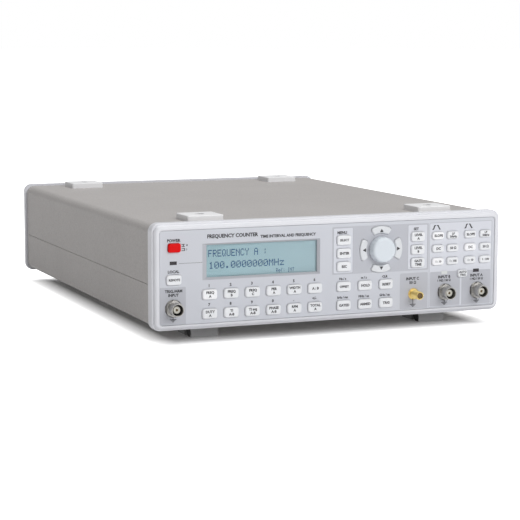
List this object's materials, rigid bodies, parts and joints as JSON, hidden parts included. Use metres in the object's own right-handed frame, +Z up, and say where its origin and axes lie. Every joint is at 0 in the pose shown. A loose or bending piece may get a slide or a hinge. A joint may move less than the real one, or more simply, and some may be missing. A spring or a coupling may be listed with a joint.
{
  "type": "frequency counter",
  "caption": "Half-rack bench frequency counter with a display, key fields, a control knob with arrow keys, coaxial inputs, stacking pads and tilt legs.",
  "frame": {"origin": "on the table under the middle of the whole object, feet bottoms at Z 0", "axes": "front panel faces -Y, +X to the right seen from the front, +Z up"},
  "size_m": [0.285, 0.3788, 0.0906],
  "materials": {
    "bezel_plastic": "fine moulded texture, satin",
    "panel_plastic": "printed satin film",
    "window": "clear, flat",
    "circuit_board": "green solder mask",
    "case_paint": "fine texture powder paint, warm grey",
    "rear_sheet": "powder paint",
    "black_plastic": "matt black moulding",
    "nickel": "nickel plate",
    "pad_plastic": "moulded, satin",
    "foot_plastic": "moulded, satin",
    "screw_steel": "zinc plate",
    "red_plastic": "gloss",
    "knob_plastic": "satin",
    "key_plastic": "satin"
  },
  "bodies": {
    "counter": {"front_bezel": "bezel_plastic", "front_panel": "panel_plastic", "display_window": "window", "front_board": "circuit_board", "top_cover": "case_paint", "bottom_cover": "case_paint", "rear_bezel": "bezel_plastic", "rear_panel": "rear_sheet", "main_board": "circuit_board", "mains_inlet": "black_plastic", "coax_sockets": "nickel", "stacking_pads": "pad_plastic", "bottom_feet": "foot_plastic", "screws": "screw_steel"},
    "armed_key": {"armed_key": "key_plastic"},
    "arrow_down_key": {"arrow_down_key": "key_plastic"},
    "arrow_left_key": {"arrow_left_key": "key_plastic"},
    "arrow_right_key": {"arrow_right_key": "key_plastic"},
    "arrow_up_key": {"arrow_up_key": "key_plastic"},
    "auto_trigger_key": {"auto_trigger_key": "key_plastic"},
    "channel_a_key_1": {"channel_a_key_1": "key_plastic"},
    "channel_a_key_2": {"channel_a_key_2": "key_plastic"},
    "channel_a_key_3": {"channel_a_key_3": "key_plastic"},
    "channel_a_key_4": {"channel_a_key_4": "key_plastic"},
    "channel_a_key_5": {"channel_a_key_5": "key_plastic"},
    "channel_a_key_6": {"channel_a_key_6": "key_plastic"},
    "channel_b_key_1": {"channel_b_key_1": "key_plastic"},
    "channel_b_key_2": {"channel_b_key_2": "key_plastic"},
    "channel_b_key_3": {"channel_b_key_3": "key_plastic"},
    "channel_b_key_4": {"channel_b_key_4": "key_plastic"},
    "channel_b_key_5": {"channel_b_key_5": "key_plastic"},
    "channel_b_key_6": {"channel_b_key_6": "key_plastic"},
    "control_knob": {"control_knob": "knob_plastic"},
    "function_key_1": {"function_key_1": "key_plastic"},
    "function_key_10": {"function_key_10": "key_plastic"},
    "function_key_11": {"function_key_11": "key_plastic"},
    "function_key_12": {"function_key_12": "key_plastic"},
    "function_key_2": {"function_key_2": "key_plastic"},
    "function_key_3": {"function_key_3": "key_plastic"},
    "function_key_4": {"function_key_4": "key_plastic"},
    "function_key_5": {"function_key_5": "key_plastic"},
    "function_key_6": {"function_key_6": "key_plastic"},
    "function_key_7": {"function_key_7": "key_plastic"},
    "function_key_8": {"function_key_8": "key_plastic"},
    "function_key_9": {"function_key_9": "key_plastic"},
    "gate_time_key": {"gate_time_key": "key_plastic"},
    "gated_key": {"gated_key": "key_plastic"},
    "hold_key": {"hold_key": "key_plastic"},
    "left_tilt_leg": {"left_tilt_leg": "black_plastic"},
    "level_a_key": {"level_a_key": "key_plastic"},
    "level_b_key": {"level_b_key": "key_plastic"},
    "menu_enter_key": {"menu_enter_key": "key_plastic"},
    "menu_escape_key": {"menu_escape_key": "key_plastic"},
    "menu_select_key": {"menu_select_key": "key_plastic"},
    "offset_key": {"offset_key": "key_plastic"},
    "power_button": {"power_button": "red_plastic"},
    "remote_key": {"remote_key": "key_plastic"},
    "reset_key": {"reset_key": "key_plastic"},
    "right_tilt_leg": {"right_tilt_leg": "black_plastic"},
    "trigger_key": {"trigger_key": "key_plastic"}
  },
  "joints": [
    {"name": "armed_key_press", "type": "slide", "parent": "counter", "child": "armed_key", "axis": [0, 1, 0], "range_m": [0, 0.0013], "stiffness_N_per_m": 300, "springref_m": -0.001},
    {"name": "arrow_down_key_press", "type": "slide", "parent": "counter", "child": "arrow_down_key", "axis": [0, 1, 0], "range_m": [0, 0.0013], "stiffness_N_per_m": 300, "springref_m": -0.001},
    {"name": "arrow_left_key_press", "type": "slide", "parent": "counter", "child": "arrow_left_key", "axis": [0, 1, 0], "range_m": [0, 0.0013], "stiffness_N_per_m": 300, "springref_m": -0.001},
    {"name": "arrow_right_key_press", "type": "slide", "parent": "counter", "child": "arrow_right_key", "axis": [0, 1, 0], "range_m": [0, 0.0013], "stiffness_N_per_m": 300, "springref_m": -0.001},
    {"name": "arrow_up_key_press", "type": "slide", "parent": "counter", "child": "arrow_up_key", "axis": [0, 1, 0], "range_m": [0, 0.0013], "stiffness_N_per_m": 300, "springref_m": -0.001},
    {"name": "auto_trigger_key_press", "type": "slide", "parent": "counter", "child": "auto_trigger_key", "axis": [0, 1, 0], "range_m": [0, 0.0013], "stiffness_N_per_m": 300, "springref_m": -0.001},
    {"name": "channel_a_key_1_press", "type": "slide", "parent": "counter", "child": "channel_a_key_1", "axis": [0, 1, 0], "range_m": [0, 0.0013], "stiffness_N_per_m": 300, "springref_m": -0.001},
    {"name": "channel_a_key_2_press", "type": "slide", "parent": "counter", "child": "channel_a_key_2", "axis": [0, 1, 0], "range_m": [0, 0.0013], "stiffness_N_per_m": 300, "springref_m": -0.001},
    {"name": "channel_a_key_3_press", "type": "slide", "parent": "counter", "child": "channel_a_key_3", "axis": [0, 1, 0], "range_m": [0, 0.0013], "stiffness_N_per_m": 300, "springref_m": -0.001},
    {"name": "channel_a_key_4_press", "type": "slide", "parent": "counter", "child": "channel_a_key_4", "axis": [0, 1, 0], "range_m": [0, 0.0013], "stiffness_N_per_m": 300, "springref_m": -0.001},
    {"name": "channel_a_key_5_press", "type": "slide", "parent": "counter", "child": "channel_a_key_5", "axis": [0, 1, 0], "range_m": [0, 0.0013], "stiffness_N_per_m": 300, "springref_m": -0.001},
    {"name": "channel_a_key_6_press", "type": "slide", "parent": "counter", "child": "channel_a_key_6", "axis": [0, 1, 0], "range_m": [0, 0.0013], "stiffness_N_per_m": 300, "springref_m": -0.001},
    {"name": "channel_b_key_1_press", "type": "slide", "parent": "counter", "child": "channel_b_key_1", "axis": [0, 1, 0], "range_m": [0, 0.0013], "stiffness_N_per_m": 300, "springref_m": -0.001},
    {"name": "channel_b_key_2_press", "type": "slide", "parent": "counter", "child": "channel_b_key_2", "axis": [0, 1, 0], "range_m": [0, 0.0013], "stiffness_N_per_m": 300, "springref_m": -0.001},
    {"name": "channel_b_key_3_press", "type": "slide", "parent": "counter", "child": "channel_b_key_3", "axis": [0, 1, 0], "range_m": [0, 0.0013], "stiffness_N_per_m": 300, "springref_m": -0.001},
    {"name": "channel_b_key_4_press", "type": "slide", "parent": "counter", "child": "channel_b_key_4", "axis": [0, 1, 0], "range_m": [0, 0.0013], "stiffness_N_per_m": 300, "springref_m": -0.001},
    {"name": "channel_b_key_5_press", "type": "slide", "parent": "counter", "child": "channel_b_key_5", "axis": [0, 1, 0], "range_m": [0, 0.0013], "stiffness_N_per_m": 300, "springref_m": -0.001},
    {"name": "channel_b_key_6_press", "type": "slide", "parent": "counter", "child": "channel_b_key_6", "axis": [0, 1, 0], "range_m": [0, 0.0013], "stiffness_N_per_m": 300, "springref_m": -0.001},
    {"name": "function_key_1_press", "type": "slide", "parent": "counter", "child": "function_key_1", "axis": [0, 1, 0], "range_m": [0, 0.0013], "stiffness_N_per_m": 300, "springref_m": -0.001},
    {"name": "function_key_10_press", "type": "slide", "parent": "counter", "child": "function_key_10", "axis": [0, 1, 0], "range_m": [0, 0.0013], "stiffness_N_per_m": 300, "springref_m": -0.001},
    {"name": "function_key_11_press", "type": "slide", "parent": "counter", "child": "function_key_11", "axis": [0, 1, 0], "range_m": [0, 0.0013], "stiffness_N_per_m": 300, "springref_m": -0.001},
    {"name": "function_key_12_press", "type": "slide", "parent": "counter", "child": "function_key_12", "axis": [0, 1, 0], "range_m": [0, 0.0013], "stiffness_N_per_m": 300, "springref_m": -0.001},
    {"name": "function_key_2_press", "type": "slide", "parent": "counter", "child": "function_key_2", "axis": [0, 1, 0], "range_m": [0, 0.0013], "stiffness_N_per_m": 300, "springref_m": -0.001},
    {"name": "function_key_3_press", "type": "slide", "parent": "counter", "child": "function_key_3", "axis": [0, 1, 0], "range_m": [0, 0.0013], "stiffness_N_per_m": 300, "springref_m": -0.001},
    {"name": "function_key_4_press", "type": "slide", "parent": "counter", "child": "function_key_4", "axis": [0, 1, 0], "range_m": [0, 0.0013], "stiffness_N_per_m": 300, "springref_m": -0.001},
    {"name": "function_key_5_press", "type": "slide", "parent": "counter", "child": "function_key_5", "axis": [0, 1, 0], "range_m": [0, 0.0013], "stiffness_N_per_m": 300, "springref_m": -0.001},
    {"name": "function_key_6_press", "type": "slide", "parent": "counter", "child": "function_key_6", "axis": [0, 1, 0], "range_m": [0, 0.0013], "stiffness_N_per_m": 300, "springref_m": -0.001},
    {"name": "function_key_7_press", "type": "slide", "parent": "counter", "child": "function_key_7", "axis": [0, 1, 0], "range_m": [0, 0.0013], "stiffness_N_per_m": 300, "springref_m": -0.001},
    {"name": "function_key_8_press", "type": "slide", "parent": "counter", "child": "function_key_8", "axis": [0, 1, 0], "range_m": [0, 0.0013], "stiffness_N_per_m": 300, "springref_m": -0.001},
    {"name": "function_key_9_press", "type": "slide", "parent": "counter", "child": "function_key_9", "axis": [0, 1, 0], "range_m": [0, 0.0013], "stiffness_N_per_m": 300, "springref_m": -0.001},
    {"name": "gate_time_key_press", "type": "slide", "parent": "counter", "child": "gate_time_key", "axis": [0, 1, 0], "range_m": [0, 0.0013], "stiffness_N_per_m": 300, "springref_m": -0.001},
    {"name": "gated_key_press", "type": "slide", "parent": "counter", "child": "gated_key", "axis": [0, 1, 0], "range_m": [0, 0.0013], "stiffness_N_per_m": 300, "springref_m": -0.001},
    {"name": "hold_key_press", "type": "slide", "parent": "counter", "child": "hold_key", "axis": [0, 1, 0], "range_m": [0, 0.0013], "stiffness_N_per_m": 300, "springref_m": -0.001},
    {"name": "level_a_key_press", "type": "slide", "parent": "counter", "child": "level_a_key", "axis": [0, 1, 0], "range_m": [0, 0.0013], "stiffness_N_per_m": 300, "springref_m": -0.001},
    {"name": "level_b_key_press", "type": "slide", "parent": "counter", "child": "level_b_key", "axis": [0, 1, 0], "range_m": [0, 0.0013], "stiffness_N_per_m": 300, "springref_m": -0.001},
    {"name": "menu_enter_key_press", "type": "slide", "parent": "counter", "child": "menu_enter_key", "axis": [0, 1, 0], "range_m": [0, 0.0013], "stiffness_N_per_m": 300, "springref_m": -0.001},
    {"name": "menu_escape_key_press", "type": "slide", "parent": "counter", "child": "menu_escape_key", "axis": [0, 1, 0], "range_m": [0, 0.0013], "stiffness_N_per_m": 300, "springref_m": -0.001},
    {"name": "menu_select_key_press", "type": "slide", "parent": "counter", "child": "menu_select_key", "axis": [0, 1, 0], "range_m": [0, 0.0013], "stiffness_N_per_m": 300, "springref_m": -0.001},
    {"name": "offset_key_press", "type": "slide", "parent": "counter", "child": "offset_key", "axis": [0, 1, 0], "range_m": [0, 0.0013], "stiffness_N_per_m": 300, "springref_m": -0.001},
    {"name": "remote_key_press", "type": "slide", "parent": "counter", "child": "remote_key", "axis": [0, 1, 0], "range_m": [0, 0.0013], "stiffness_N_per_m": 300, "springref_m": -0.001},
    {"name": "reset_key_press", "type": "slide", "parent": "counter", "child": "reset_key", "axis": [0, 1, 0], "range_m": [0, 0.0013], "stiffness_N_per_m": 300, "springref_m": -0.001},
    {"name": "trigger_key_press", "type": "slide", "parent": "counter", "child": "trigger_key", "axis": [0, 1, 0], "range_m": [0, 0.0013], "stiffness_N_per_m": 300, "springref_m": -0.001},
    {"name": "power_button_press", "type": "slide", "parent": "counter", "child": "power_button", "axis": [0, 1, 0], "range_m": [0, 0.003], "stiffness_N_per_m": 300, "springref_m": -0.001},
    {"name": "control_knob_turn", "type": "hinge", "parent": "counter", "child": "control_knob", "pos_m": [0.0391, -0.17905, 0.0618], "axis": [0, 1, 0], "continuous": true},
    {"name": "left_tilt_leg_fold", "type": "hinge", "parent": "counter", "child": "left_tilt_leg", "pos_m": [-0.0946, -0.14985, 0.0034], "axis": [-1, 0, 0], "range_deg": [0, 98]},
    {"name": "right_tilt_leg_fold", "type": "hinge", "parent": "counter", "child": "right_tilt_leg", "pos_m": [0.0946, -0.14985, 0.0034], "axis": [-1, 0, 0], "range_deg": [0, 98]}
  ]
}
